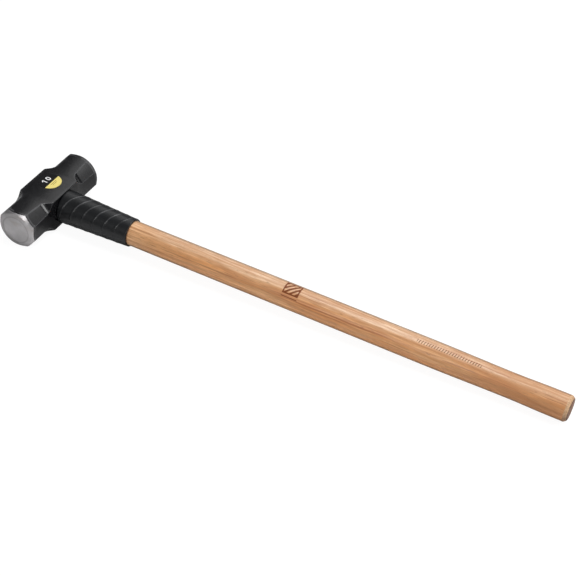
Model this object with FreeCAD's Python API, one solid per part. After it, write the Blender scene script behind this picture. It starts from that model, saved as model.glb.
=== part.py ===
import FreeCAD, Part
import math
import os

# Sledgehammer with a double-faced head, a straight hickory handle and a rubber overstrike guard.
# All sizes are in millimetres. The origin is the centre of the head's top face, the flat face
# where the wedged end of the handle shows. +X runs down the handle to the butt, +Y runs along
# the head from one striking face to the other, and +Z points out of the labelled cheek.

# Driving dimensions
HEAD_LENGTH = 180.0          # from striking face to striking face
HEAD_WIDTH = 63.5            # along the handle
CHEEK_HEIGHT = 56.4          # from cheek to cheek
BLOCK_LENGTH = 65.0          # square-cornered middle of the head
FACE_DIAMETER = 63.0         # round end of each poll
OVERALL_LENGTH = 914.0       # 36 in, from the head's top face to the butt
HANDLE_DIAMETER = 40.4
GUARD_LENGTH = 126.0
EYE_LENGTH = 35.0            # along Y, at the eye's narrow waist
EYE_WIDTH = 25.5             # along Z, at the eye's narrow waist
LABEL_DIAMETER = 36.0

HEAD_CENTRE = HEAD_WIDTH / 2
CHEEK_Z = CHEEK_HEIGHT / 2
GUARD_END = HEAD_WIDTH + GUARD_LENGTH

# Polls: octagons with wide corner facets, flaring from a neck next to the block to the round end
NECK_DISTANCE = BLOCK_LENGTH / 2 + 10.5      # from the head's centre to the narrowest octagon
SHOULDER_DISTANCE = HEAD_LENGTH / 2 - 3.0    # to the widest octagon, where the round end begins
NECK_WIDTH = HEAD_WIDTH - 1.9
NECK_HEIGHT = CHEEK_HEIGHT + 1.2
NECK_CORNER_CUT = 12.6                       # how far the corner facet reaches along X
SHOULDER_CORNER_CUT = 15.6
CORNER_SLOPE = 1.18                          # height of a corner facet divided by its width

# Round striking ends
FACE_FLAT_DIAMETER = FACE_DIAMETER - 13.0
FACE_BEVEL_LENGTH = 2.5
BLOCK_EDGE_RADIUS = 0.9

# Eye: an oval hole, waisted so that the wedged tenon cannot pull out
EYE_MOUTH_FLARE = 2.5

# Wedges in the tenon
WOOD_WEDGE_DEPTH = 46.0
WOOD_WEDGE_THICKNESS = 6.0
STEEL_WEDGE_DEPTH = 26.0
STEEL_WEDGE_THICKNESS = 5.0
STEEL_WEDGE_WIDTH = 21.0
STEEL_WEDGE_SPACING = 17.0
WEDGE_TIP_THICKNESS = 1.0

# Handle beyond the head
HANDLE_RADIUS = HANDLE_DIAMETER / 2
NECK_BLEND_LENGTH = 48.0                     # oval at the eye turns into a round guard seat
GUARD_SEAT_RADIUS = HANDLE_RADIUS - 0.7
SHAFT_LENGTH = 505.0                         # cylindrical wood beyond the guard
GRIP_START = GUARD_END + SHAFT_LENGTH
GRIP_WAIST = 0.905 * OVERALL_LENGTH
GRIP_WAIST_RADIUS = HANDLE_RADIUS - 1.25
BUTT_RADIUS = HANDLE_RADIUS - 0.35
BUTT_SWELL_START = 0.97 * OVERALL_LENGTH
BUTT_CHAMFER = 3.0

# Overstrike guard
GUARD_HEAD_RADIUS = 27.2
GUARD_END_RADIUS = 22.7
GUARD_HEAD_ROUNDING = 2.5
GUARD_END_ROUNDING = 0.6
RIDGE_COUNT = 6
RIDGE_SPACING = 18.8
FIRST_RIDGE_X = HEAD_WIDTH + 21.4
RIDGE_SLANT_DEGREES = 29.0
RIDGE_THICKNESS = 1.8
RIDGE_HEIGHT = 0.8

# Label on the upper cheek
LABEL_THICKNESS = 0.3
LABEL_TOWARDS_FAR_FACE = 9.4                 # from the middle of the cheek
LABEL_TOWARDS_TOP_FACE = 3.5

X_AXIS = FreeCAD.Vector(1, 0, 0)
Y_AXIS = FreeCAD.Vector(0, 1, 0)
Z_AXIS = FreeCAD.Vector(0, 0, 1)


def point(x, y, z=0.0):
    return FreeCAD.Vector(x, y, z)


def solid_from_faces(faces):
    """Closed flat-faced solid from the corner lists of its faces."""
    flat_faces = [Part.Face(Part.makePolygon(corners + corners[:1])) for corners in faces]
    return Part.makeSolid(Part.makeShell(flat_faces))


def cut_rectangle(width, height, corner_cut, y):
    """Octagon around the head's axis at y: a rectangle with its four corners cut off."""
    half_width = width / 2
    half_height = height / 2
    inner_x = half_width - corner_cut
    inner_z = half_height - corner_cut * CORNER_SLOPE
    quarter = [(inner_x, half_height), (half_width, inner_z)]
    corners = quarter
    corners = corners + [(x, -z) for x, z in reversed(quarter)]
    corners = corners + [(-x, -z) for x, z in quarter]
    corners = corners + [(-x, z) for x, z in reversed(quarter)]
    return [point(HEAD_CENTRE + x, y, z) for x, z in corners]


def neighbours(count):
    """Index pairs (this corner, next corner) round a closed outline."""
    return [(index, (index + 1) % count) for index in range(count)]


def shoulder_ramp():
    """The head between the square block and the neck of the +Y poll."""
    octagon = cut_rectangle(NECK_WIDTH, NECK_HEIGHT, NECK_CORNER_CUT, NECK_DISTANCE)
    block_y = BLOCK_LENGTH / 2
    rectangle = [
        point(HEAD_CENTRE + side_x * HEAD_WIDTH / 2, block_y, side_z * CHEEK_Z)
        for side_x, side_z in ((1, 1), (1, -1), (-1, -1), (-1, 1))
    ]
    faces = [rectangle, octagon]
    for this_corner, next_corner in neighbours(4):
        ridge_start = octagon[2 * this_corner]
        ridge_end = octagon[2 * this_corner + 1]
        next_start = octagon[(2 * next_corner) % 8]
        faces.append([rectangle[this_corner], ridge_start, ridge_end])
        faces.append([rectangle[this_corner], ridge_end, next_start, rectangle[next_corner]])
    return solid_from_faces(faces)


def octagonal_poll():
    """The faceted +Y poll, from its neck to the plane of its striking face."""
    flare_width = (HEAD_WIDTH - NECK_WIDTH) / (SHOULDER_DISTANCE - NECK_DISTANCE)
    flare_height = (FACE_DIAMETER - NECK_HEIGHT) / (SHOULDER_DISTANCE - NECK_DISTANCE)
    flare_cut = (SHOULDER_CORNER_CUT - NECK_CORNER_CUT) / (SHOULDER_DISTANCE - NECK_DISTANCE)
    past_shoulder = HEAD_LENGTH / 2 - SHOULDER_DISTANCE
    neck = cut_rectangle(NECK_WIDTH, NECK_HEIGHT, NECK_CORNER_CUT, NECK_DISTANCE)
    end = cut_rectangle(
        HEAD_WIDTH + flare_width * past_shoulder,
        FACE_DIAMETER + flare_height * past_shoulder,
        SHOULDER_CORNER_CUT + flare_cut * past_shoulder,
        HEAD_LENGTH / 2,
    )
    faces = [neck, end]
    for this_corner, next_corner in neighbours(8):
        faces.append([neck[this_corner], end[this_corner], end[next_corner], neck[next_corner]])
    return solid_from_faces(faces)


def turned_end():
    """Round envelope of the +Y poll: 45 degree cone, short cylinder, bevel and flat face."""
    face_radius = FACE_DIAMETER / 2
    face_y = HEAD_LENGTH / 2
    clear_radius = HEAD_WIDTH                # well outside the poll's corners
    cone_length = clear_radius - face_radius
    profile = [
        point(HEAD_CENTRE, 0),
        point(HEAD_CENTRE + clear_radius, 0),
        point(HEAD_CENTRE + clear_radius, SHOULDER_DISTANCE - cone_length),
        point(HEAD_CENTRE + face_radius, SHOULDER_DISTANCE),
        point(HEAD_CENTRE + face_radius, face_y - FACE_BEVEL_LENGTH),
        point(HEAD_CENTRE + FACE_FLAT_DIAMETER / 2, face_y),
        point(HEAD_CENTRE, face_y),
    ]
    face = Part.Face(Part.makePolygon(profile + profile[:1]))
    return face.revolve(point(HEAD_CENTRE, 0), Y_AXIS, 360)


def oval(x, length, width):
    """Ellipse across the handle at x, with its long axis along Y."""
    outline = Part.Ellipse(point(0, 0), length / 2, width / 2).toShape()
    outline.Placement = FreeCAD.Placement(
        point(x, 0), FreeCAD.Rotation(Y_AXIS, Z_AXIS, X_AXIS, "ZXY")
    )
    return Part.Wire(outline)


def eye_filling():
    """Solid that exactly fills the eye: wide at both mouths, narrow at its waist."""
    mouth_length = EYE_LENGTH + EYE_MOUTH_FLARE
    mouth_width = EYE_WIDTH + EYE_MOUTH_FLARE
    sections = [
        oval(0, mouth_length, mouth_width),
        oval(HEAD_CENTRE, EYE_LENGTH, EYE_WIDTH),
        oval(HEAD_WIDTH, mouth_length, mouth_width),
    ]
    return Part.makeLoft(sections, True, False)


def wedge(depth, thickness, width):
    """Wedge driven in along +X from the head's top face, thick along Z and wide along Y."""
    profile = [
        point(0, 0, thickness / 2),
        point(depth, 0, WEDGE_TIP_THICKNESS / 2),
        point(depth, 0, -WEDGE_TIP_THICKNESS / 2),
        point(0, 0, -thickness / 2),
    ]
    face = Part.Face(Part.makePolygon(profile + profile[:1]))
    return face.extrude(Y_AXIS * width).translated(point(0, -width / 2))


def wood_wedge_blank():
    return wedge(WOOD_WEDGE_DEPTH, WOOD_WEDGE_THICKNESS, BLOCK_LENGTH)


def steel_wedges():
    """Two cross wedges, side by side across the wooden wedge."""
    blank = wedge(STEEL_WEDGE_DEPTH, STEEL_WEDGE_THICKNESS, STEEL_WEDGE_WIDTH)
    upright = blank.rotated(point(0, 0), X_AXIS, 90)
    return Part.makeCompound([
        upright.translated(point(0, side * STEEL_WEDGE_SPACING / 2)) for side in (-1, 1)
    ])


def head():
    block_corner = point(0, -BLOCK_LENGTH / 2, -CHEEK_Z)
    block = Part.makeBox(HEAD_WIDTH, BLOCK_LENGTH, CHEEK_HEIGHT, block_corner)
    far_half = shoulder_ramp().fuse(octagonal_poll().common(turned_end()))
    near_half = far_half.mirror(point(0, 0), Y_AXIS)
    forging = block.fuse([far_half, near_half]).removeSplitter()
    corner_edges = [edge for edge in forging.Edges if is_block_corner_edge(edge)]
    return forging.makeFillet(BLOCK_EDGE_RADIUS, corner_edges).cut(eye_filling())


def is_block_corner_edge(edge):
    """True for the four long edges of the square block, which run along Y."""
    middle = edge.BoundBox.Center
    at_side = math.isclose(abs(middle.x - HEAD_CENTRE), HEAD_WIDTH / 2, abs_tol=0.01)
    at_cheek = math.isclose(abs(middle.z), CHEEK_Z, abs_tol=0.01)
    return at_side and at_cheek and math.isclose(middle.y, 0, abs_tol=0.01)


def turned_handle():
    """The round handle from the end of the neck blend, past the guard's seat, to the butt."""
    start = HEAD_WIDTH + NECK_BLEND_LENGTH
    chamfer_start = OVERALL_LENGTH - BUTT_CHAMFER
    grip = Part.BSplineCurve()
    grip.interpolate(
        [
            point(GRIP_START, HANDLE_RADIUS),
            point(GRIP_WAIST, GRIP_WAIST_RADIUS),
            point(BUTT_SWELL_START, BUTT_RADIUS),
        ],
        Tangents=[X_AXIS, X_AXIS, X_AXIS],
        TangentFlags=[True, True, True],
    )
    outline = [
        Part.makeLine(point(start, 0), point(start, GUARD_SEAT_RADIUS)),
        Part.makeLine(point(start, GUARD_SEAT_RADIUS), point(GUARD_END, GUARD_SEAT_RADIUS)),
        Part.makeLine(point(GUARD_END, GUARD_SEAT_RADIUS), point(GUARD_END, HANDLE_RADIUS)),
        Part.makeLine(point(GUARD_END, HANDLE_RADIUS), point(GRIP_START, HANDLE_RADIUS)),
        grip.toShape(),
        Part.makeLine(point(BUTT_SWELL_START, BUTT_RADIUS), point(chamfer_start, BUTT_RADIUS)),
        Part.makeLine(
            point(chamfer_start, BUTT_RADIUS),
            point(OVERALL_LENGTH, BUTT_RADIUS - BUTT_CHAMFER),
        ),
        Part.makeLine(point(OVERALL_LENGTH, BUTT_RADIUS - BUTT_CHAMFER), point(OVERALL_LENGTH, 0)),
        Part.makeLine(point(OVERALL_LENGTH, 0), point(start, 0)),
    ]
    return Part.Face(Part.Wire(outline)).revolve(point(0, 0), X_AXIS, 360)


def handle_blank():
    """Whole handle before the kerf is cut: tenon, neck blend and round handle in one piece."""
    seat_diameter = 2 * GUARD_SEAT_RADIUS
    sections = [
        oval(HEAD_WIDTH, EYE_LENGTH + EYE_MOUTH_FLARE, EYE_WIDTH + EYE_MOUTH_FLARE),
        oval(HEAD_WIDTH + NECK_BLEND_LENGTH, seat_diameter, seat_diameter),
    ]
    neck = Part.makeLoft(sections, True, True)
    return eye_filling().fuse([neck, turned_handle()])


def handle():
    return handle_blank().cut([wood_wedge_blank(), steel_wedges()])


def wood_wedge():
    return wood_wedge_blank().common(eye_filling()).cut(steel_wedges())


def guard_cone(extra_radius):
    """Tapered round body of the guard, made larger all round by extra_radius."""
    return Part.makeCone(
        GUARD_HEAD_RADIUS + extra_radius,
        GUARD_END_RADIUS + extra_radius,
        GUARD_LENGTH,
        point(HEAD_WIDTH, 0),
        X_AXIS,
    )


def guard_ridge(x):
    """Slanted moulded ring round the guard, centred on the handle's axis at x."""
    slab_size = 4 * GUARD_HEAD_RADIUS
    slab = Part.makeBox(
        RIDGE_THICKNESS, slab_size, slab_size,
        point(-RIDGE_THICKNESS / 2, -slab_size / 2, -slab_size / 2),
    )
    slanted = slab.rotated(point(0, 0), Z_AXIS, -RIDGE_SLANT_DEGREES).translated(point(x, 0))
    return slanted.common(guard_cone(RIDGE_HEIGHT))


def round_rim(solid, x, radius):
    """Round off the circular edges of a turned solid that lie in the plane at x."""
    rim = [
        edge for edge in solid.Edges
        if math.isclose(edge.BoundBox.XMin, x, abs_tol=0.01)
        and math.isclose(edge.BoundBox.XMax, x, abs_tol=0.01)
    ]
    return solid.makeFillet(radius, rim)


def overstrike_guard():
    body = round_rim(guard_cone(0), HEAD_WIDTH, GUARD_HEAD_ROUNDING)
    body = round_rim(body, GUARD_END, GUARD_END_ROUNDING)
    ridges = [guard_ridge(FIRST_RIDGE_X + index * RIDGE_SPACING) for index in range(RIDGE_COUNT)]
    return body.fuse(ridges).cut(handle_blank())


def head_label():
    centre = point(HEAD_CENTRE - LABEL_TOWARDS_TOP_FACE, LABEL_TOWARDS_FAR_FACE, CHEEK_Z)
    return Part.makeCylinder(LABEL_DIAMETER / 2, LABEL_THICKNESS, centre, Z_AXIS)


NODES = {
    "head": head,
    "handle": handle,
    "wood_wedge": wood_wedge,
    "steel_wedges": steel_wedges,
    "overstrike_guard": overstrike_guard,
    "head_label": head_label,
}

os.makedirs("parts", exist_ok=True)
for name, build in NODES.items():
    shape = build()
    shape.exportStep(f"parts/{name}.step")
    volume_cm3 = round(shape.Volume / 1000, 1)
    print(name, len(shape.Solids), "solid(s),", volume_cm3, "cm3, valid:", shape.isValid())
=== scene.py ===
"""Looks of the sledgehammer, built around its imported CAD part.

Everything is in metres in the part's own frame: x runs down the handle from the head's top face,
y runs along the head, and z points out of the labelled cheek. The hammer lies on a white floor.
"""

import math

import bmesh
import bpy
from mathutils import Matrix, Vector


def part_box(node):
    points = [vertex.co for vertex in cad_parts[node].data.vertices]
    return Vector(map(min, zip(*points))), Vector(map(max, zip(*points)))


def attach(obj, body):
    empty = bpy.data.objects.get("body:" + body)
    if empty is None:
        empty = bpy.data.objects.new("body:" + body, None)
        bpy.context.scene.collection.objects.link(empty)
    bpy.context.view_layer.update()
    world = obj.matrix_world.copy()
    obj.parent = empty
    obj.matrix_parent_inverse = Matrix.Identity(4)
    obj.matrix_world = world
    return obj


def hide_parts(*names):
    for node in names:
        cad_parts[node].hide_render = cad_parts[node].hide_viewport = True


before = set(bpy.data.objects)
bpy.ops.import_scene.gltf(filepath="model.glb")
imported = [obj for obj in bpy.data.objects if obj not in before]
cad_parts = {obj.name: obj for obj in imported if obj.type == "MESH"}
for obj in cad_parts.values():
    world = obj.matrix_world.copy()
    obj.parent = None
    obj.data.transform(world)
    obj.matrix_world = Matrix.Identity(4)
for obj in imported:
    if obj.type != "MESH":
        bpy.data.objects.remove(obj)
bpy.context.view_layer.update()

MM = 0.001

# Sizes read from the CAD nodes
HEAD_LOW, HEAD_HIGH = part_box("head")
HANDLE_LOW, HANDLE_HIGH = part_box("handle")
GUARD_LOW, GUARD_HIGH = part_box("overstrike_guard")
LABEL_LOW, LABEL_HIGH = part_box("head_label")
_, WEDGE_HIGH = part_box("wood_wedge")

HEAD_X = (HEAD_LOW.x + HEAD_HIGH.x) / 2
HEAD_MIDDLE = Vector((HEAD_X, 0, 0))
HALF_WIDTH = (HEAD_HIGH.x - HEAD_LOW.x) / 2
CHEEK_Z = LABEL_LOW.z
FACE_Y = HEAD_HIGH.y
FACE_RADIUS = HEAD_HIGH.z
HANDLE_RADIUS = HANDLE_HIGH.z
HANDLE_END = HANDLE_HIGH.x
HAMMER_MIDDLE = Vector((HANDLE_END / 2, 0, 0))
LABEL_RADIUS = (LABEL_HIGH.x - LABEL_LOW.x) / 2
EYE_MOUTH_HALF_LENGTH = WEDGE_HIGH.y  # the wedge is as long as the eye

# Head: how its outline changes with distance from its middle, towards either striking face
BLOCK_END = 32.5 * MM
NECK = BLOCK_END + 10.5 * MM
SHOULDER = FACE_Y - 3.0 * MM
RIM = FACE_Y - 1.2 * MM  # where the ground cone gives way to the shallow rim
FACE_FLAT_RADIUS = FACE_RADIUS - 8.0 * MM
NECK_WAIST = 0.95 * MM  # how far the neck's sides draw in
NECK_RISE = 0.6 * MM  # and how far its cheeks rise
BLOCK_CUT = 1.2 * MM
NECK_CUT = 12.6 * MM
SHOULDER_CUT = 15.6 * MM
CORNER_SLOPE = 1.18  # height of a corner facet divided by its width
FACET_ANGLE = math.atan2(1, CORNER_SLOPE)  # from the x axis up to where a corner facet faces
FACET_DIRECTIONS = [
    half_turn + angle
    for half_turn in (0, math.pi)
    for angle in (0, FACET_ANGLE, math.pi / 2, math.pi - FACET_ANGLE)
]
TURNED_RADII = ((0, FACE_RADIUS + SHOULDER), (RIM, FACE_RADIUS + SHOULDER - RIM),
                (FACE_Y, FACE_FLAT_RADIUS))
BLOCK_ROUNDING = 1.6 * MM  # of the long edges of the block
POLL_ROUNDING = 2.2 * MM  # and of the polls
CROWN_SHARE = 0.011  # rise of a forged facet's middle, per width of the facet
TURNED_ROUNDING = 0.5 * MM
FACE_ROUNDING = 0.6 * MM
BLOCK_SOFTNESS = 1.6 * MM  # reach of the smooth change from block to ramp
NECK_SOFTNESS = 7.0 * MM  # and from ramp to poll

# Eye through the head
EYE_MOUTH_HALF_WIDTH = 14.0 * MM
EYE_FLARE = 1.25 * MM  # mouth minus waist, on the radius
EYE_CHAMFER = 0.6 * MM
JOINT_GAP = 0.05 * MM

# Handle
NECK_BLEND_LENGTH = 48.0 * MM
SEAT_RADIUS = HANDLE_RADIUS - 0.7 * MM
GRIP_START = GUARD_HIGH.x + 505.0 * MM
GRIP_WAIST = 0.905 * HANDLE_END
BUTT_START = 0.97 * HANDLE_END
WAIST_RADIUS = HANDLE_RADIUS - 1.25 * MM
BUTT_RADIUS = HANDLE_RADIUS - 0.35 * MM
BUTT_CHAMFER = 3.0 * MM
BUTT_ROUNDING = 1.2 * MM
BUTT_EDGE_LENGTH = 4.0 * MM  # how far up the handle the worn edge reaches
END_RIM_RADIUS = BUTT_RADIUS - BUTT_CHAMFER - 0.4 * MM
KERF_GAP = 0.08 * MM

# Guard
GUARD_HEAD_RADIUS = 27.2 * MM
GUARD_END_RADIUS = 22.7 * MM
GUARD_HEAD_ROUNDING = 2.5 * MM
GUARD_END_ROUNDING = 0.8 * MM
RIDGE_COUNT = 6
RIDGE_SPACING = 18.8 * MM
FIRST_RIDGE_X = GUARD_LOW.x + 21.4 * MM
RIDGE_SLANT = math.radians(29)
RIDGE_HALF_WIDTH = 0.75 * MM
RIDGE_HEIGHT = 0.4 * MM
# Painted highlight: the crests lighten only on the upper side, from the first share to the second
CREST_HIGHLIGHT_START = 0.12  # share of the half turn from -y over the top to +y
CREST_HIGHLIGHT_FULL = 0.40

# Grain of the wood; an arc is a distance round the handle, from its top line towards -y
PITH = (0.0, 45.0 * MM, -30.0 * MM)
GRAIN_WANDER = (0.0, 16.0 * MM, 16.0 * MM)
GROWTH_RING_WIDTH = 3.1 * MM
# Tilt of the pale top band, which is pale outer wood and painted light from above
PALE_TOP_TURN = math.radians(10)  # from straight up towards +y
STREAKS_X = 0.60 * HANDLE_END
STREAKS_ARC = 20.0 * MM
STREAKS_HALF_LENGTH = 135.0 * MM
STREAKS = ((0.0, 1.0), (3.4 * MM, 0.6), (-4.0 * MM, 0.45))  # place sideways, strength
STREAK_WAVER = 7.0 * MM

# Marks burnt into the wood
BRAND_X = 0.5177 * HANDLE_END
BRAND_ARC = 3.4 * MM
BRAND_HALF_LENGTH = 13.0 * MM
BRAND_HALF_WIDTH = 10.8 * MM
BRAND_FRAME_WIDTH = 2.4 * MM
BRAND_BAR_SPACING = 4.4 * MM
BRAND_LINE_DROP = 4.4 * MM
BRAND_LINE_HALF_WIDTH = 0.35 * MM
TICKS_X = 0.7964 * HANDLE_END
TICKS_ARC = 5.3 * MM
TICKS_HALF_LENGTH = 50.0 * MM
TICKS_HALF_WIDTH = 3.2 * MM
TICK_SPACING = 4.0 * MM
TICK_SLANT = 0.25
BURN_SOFTNESS = 0.5 * MM

# Label print
LABEL_SPLIT_X = (LABEL_LOW.x + LABEL_HIGH.x) / 2 + 2.8 * MM
DIGIT_HEIGHT = 9.6 * MM
DIGIT_WIDTH = 6.6 * MM
DIGIT_STROKE = 0.27 * DIGIT_WIDTH  # of the 0
DIGIT_BASE_X = 26.0 * MM
DIGIT_ONE_Y = 4.6 * MM
DIGIT_ZERO_Y = 13.6 * MM
INK_THICKNESS = 0.03 * MM
BARS = ((-8.3 * MM, 7.5 * MM), (-11.0 * MM, 5.0 * MM))  # height over the digits' foot, half length
BAR_HALF_HEIGHT = 0.5 * MM

# Order of the materials on the head, the handle and the label
PAINTED, GROUND = range(2)
VARNISHED, SAWN, BARE = range(3)
BLACK, YELLOW, WHITE, OCHRE = range(4)

# Fineness of the meshes
CORNER_STEPS = 4  # of a rounded path
ARC_STEPS = 5  # round a corner of the head
SIDE_STEPS = 10  # across a facet of the head
BLOCK_STEPS = 3
RAMP_STEPS = 40
POLL_STEPS = 12
LIP_STEPS = 6  # from the painted poll to the ground rim
EYE_STEPS = 8
TENON_STEPS = 14
SEAT_STEPS = 30
SHAFT_STEPS = 150
OVAL_POINTS = 96  # round the eye and the handle
GUARD_POINTS = 160
GUARD_STEPS = 270
LABEL_POINTS = 128
DIGIT_POINTS = 48


# -------- shape helpers

def between(start, end, share):
    return start + (end - start) * share


def smooth_share(place, start, end):
    """0 before the start and 1 after the end, with a smooth change between them."""
    share = min(max((place - start) / (end - start), 0.0), 1.0)
    return share * share * (3 - 2 * share)


def read_profile(profile, place):
    """Straight-line reading of a list of (place, value) pairs."""
    for (start, value), (end, next_value) in zip(profile, profile[1:]):
        if place <= end:
            return between(value, next_value, (place - start) / (end - start))
    return profile[-1][1]


def softened(profile, place, reach):
    """Average of the profile around a place, which rounds off its corners."""
    samples = 8
    offsets = [between(-reach, reach, (index + 0.5) / samples) for index in range(samples)]
    return sum(read_profile(profile, max(place + offset, 0)) for offset in offsets) / samples


def evenly(start, end, count):
    """count + 1 evenly spaced values from start to end."""
    return [between(start, end, index / count) for index in range(count + 1)]


def full_turn(count):
    """count evenly spaced angles round a full turn."""
    return evenly(0, math.tau, count)[:-1]


def rounded_path(corners, radius):
    """Polyline through (place, radius) corners with every inner corner rounded."""
    path = [corners[0]]
    for before, corner, after in zip(corners, corners[1:], corners[2:]):
        corner = Vector(corner)
        back = Vector(before) - corner
        ahead = Vector(after) - corner
        reach = min(radius, back.length / 2, ahead.length / 2)
        start = corner + back.normalized() * reach
        end = corner + ahead.normalized() * reach
        for share in evenly(0, 1, CORNER_STEPS):
            first = start.lerp(corner, share)
            second = corner.lerp(end, share)
            path.append(tuple(first.lerp(second, share)))
    path.append(corners[-1])
    return path


def quads_between(row, next_row):
    """Corners of the quads that join two closed rows of points."""
    return zip(row, row[1:] + row[:1], next_row[1:] + next_row[:1], next_row)


def skin(name, rings, bands=None, joined=False):
    """Closed mesh with a material index per band between rings; capped, or joined to its start."""
    builder = bmesh.new()
    rows = [[builder.verts.new(place) for place in ring] for ring in rings]
    pairs = list(zip(rows, rows[1:]))
    if joined:
        pairs.append((rows[-1], rows[0]))
    bands = bands or [0] * len(pairs)
    for (row, next_row), material_index in zip(pairs, bands):
        for corners in quads_between(row, next_row):
            builder.faces.new(corners).material_index = material_index
    if not joined:
        cap_end(builder, rows[0], bands[0])
        cap_end(builder, rows[-1], bands[-1])
    bmesh.ops.recalc_face_normals(builder, faces=builder.faces)
    return add_piece(name, builder)


def cap_end(builder, row, material_index):
    """Close an end with triangles to its middle."""
    middle = sum((vertex.co for vertex in row), Vector()) / len(row)
    centre = builder.verts.new(middle)
    for vertex, next_vertex in zip(row, row[1:] + row[:1]):
        builder.faces.new((vertex, next_vertex, centre)).material_index = material_index


def add_piece(name, builder):
    """Turn a bmesh into an object of the scene."""
    mesh = bpy.data.meshes.new(name)
    builder.to_mesh(mesh)
    builder.free()
    piece = bpy.data.objects.new(name, mesh)
    bpy.context.scene.collection.objects.link(piece)
    return piece


def shade(piece, sharp_degrees=35):
    """Smooth shading that keeps flat faces flat and sharp edges sharp."""
    piece.data.shade_smooth()
    piece.data.set_sharp_from_angle(angle=math.radians(sharp_degrees))
    modifier = piece.modifiers.new("flat_faces_stay_flat", "WEIGHTED_NORMAL")
    modifier.keep_sharp = True


def cut_with(piece, cutter):
    """Cut the cutter's shape out of the piece for good, and remove the cutter."""
    modifier = piece.modifiers.new("cut", "BOOLEAN")
    modifier.operation = "DIFFERENCE"
    modifier.solver = "EXACT"
    modifier.object = cutter
    evaluated = piece.evaluated_get(bpy.context.evaluated_depsgraph_get())
    cut_mesh = bpy.data.meshes.new_from_object(evaluated)
    piece.modifiers.clear()
    piece.data = cut_mesh
    bpy.data.objects.remove(cutter)


def stand_for(piece, node, slot, *materials):
    """Show the piece, in its materials, in place of the CAD node."""
    for material in materials:
        piece.data.materials.append(material)
    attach(piece, "root")
    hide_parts(node)


# -------- head

def head_profile(block, neck, poll):
    """A size from the head's middle outwards: even on the block, then by way of the neck."""
    return ((0, block), (BLOCK_END, block), (NECK, neck), (SHOULDER, poll), (FACE_Y, poll))


HALF_WIDTHS = head_profile(HALF_WIDTH, HALF_WIDTH - NECK_WAIST, HALF_WIDTH)
HALF_HEIGHTS = head_profile(CHEEK_Z, CHEEK_Z + NECK_RISE, FACE_RADIUS)
CORNER_CUTS = head_profile(BLOCK_CUT, NECK_CUT, SHOULDER_CUT)


def ramp_share(distance):
    """0 on the block and 1 on the poll, with a smooth change along the ramp between them."""
    return smooth_share(distance, BLOCK_END, NECK)


def edge_rounding(distance):
    """Radius of the long edges."""
    return between(BLOCK_ROUNDING, POLL_ROUNDING, ramp_share(distance))


def facet_distances(distance):
    """How far each of the eight facets is from the head's axis, less its crown and rounding."""
    softness = between(BLOCK_SOFTNESS, NECK_SOFTNESS, ramp_share(distance))
    half_width, half_height, cut = [
        softened(profile, distance, softness)
        for profile in (HALF_WIDTHS, HALF_HEIGHTS, CORNER_CUTS)
    ]
    corner = math.cos(FACET_ANGLE) * (half_width - cut) + math.sin(FACET_ANGLE) * half_height
    side = half_width - 2 * (half_height - CORNER_SLOPE * cut) * CROWN_SHARE
    corner -= math.hypot(1, CORNER_SLOPE) * cut * CROWN_SHARE
    cheek = half_height - 2 * (half_width - cut) * CROWN_SHARE
    half = [side, corner, cheek, corner]
    return [facet - edge_rounding(distance) for facet in half + half]


def facet_crossing(angle, facet, next_angle, next_facet):
    """Where the lines of two neighbouring facets cross, in the x-z plane."""
    turn = math.sin(next_angle - angle)
    x = (facet * math.sin(next_angle) - next_facet * math.sin(angle)) / turn
    z = (next_facet * math.cos(angle) - facet * math.cos(next_angle)) / turn
    return Vector((x, z))


def head_outline(distance):
    """Points round the head's axis: rounded corners joined by evenly divided facets."""
    facets = facet_distances(distance)
    next_facets = facets[1:] + facets[:1]
    next_directions = FACET_DIRECTIONS[1:] + [math.tau]
    corners = []
    for angle, facet, next_angle, next_facet in zip(
        FACET_DIRECTIONS, facets, next_directions, next_facets,
    ):
        centre = facet_crossing(angle, facet, next_angle, next_facet)
        corners.append([
            centre + edge_rounding(distance) * Vector((math.cos(turn), math.sin(turn)))
            for turn in evenly(angle, next_angle, ARC_STEPS)
        ])
    outline = []
    for corner, next_corner, angle in zip(corners, corners[1:] + corners[:1], next_directions):
        outline += corner
        facing = Vector((math.cos(angle), math.sin(angle)))
        width = (next_corner[0] - corner[-1]).length
        for share in evenly(0, 1, SIDE_STEPS)[1:-1]:
            crown = CROWN_SHARE * width * 4 * share * (1 - share)
            outline.append(corner[-1].lerp(next_corner[0], share) + facing * crown)
    return outline


def turned_radius(distance):
    """Radius of the ground cone and rim round the striking face."""
    return softened(TURNED_RADII, distance, TURNED_ROUNDING)


def paint_edge(start, poll_start, poll_end):
    """Distance at which one lengthwise line of the poll meets the ground end, by halving."""
    low = start
    high = SHOULDER - 0.3 * MM
    for _ in range(30):
        middle = (low + high) / 2
        share = (middle - start) / (SHOULDER - start)
        if poll_start.lerp(poll_end, share).length < turned_radius(middle):
            low = middle
        else:
            high = middle
    return low


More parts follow.
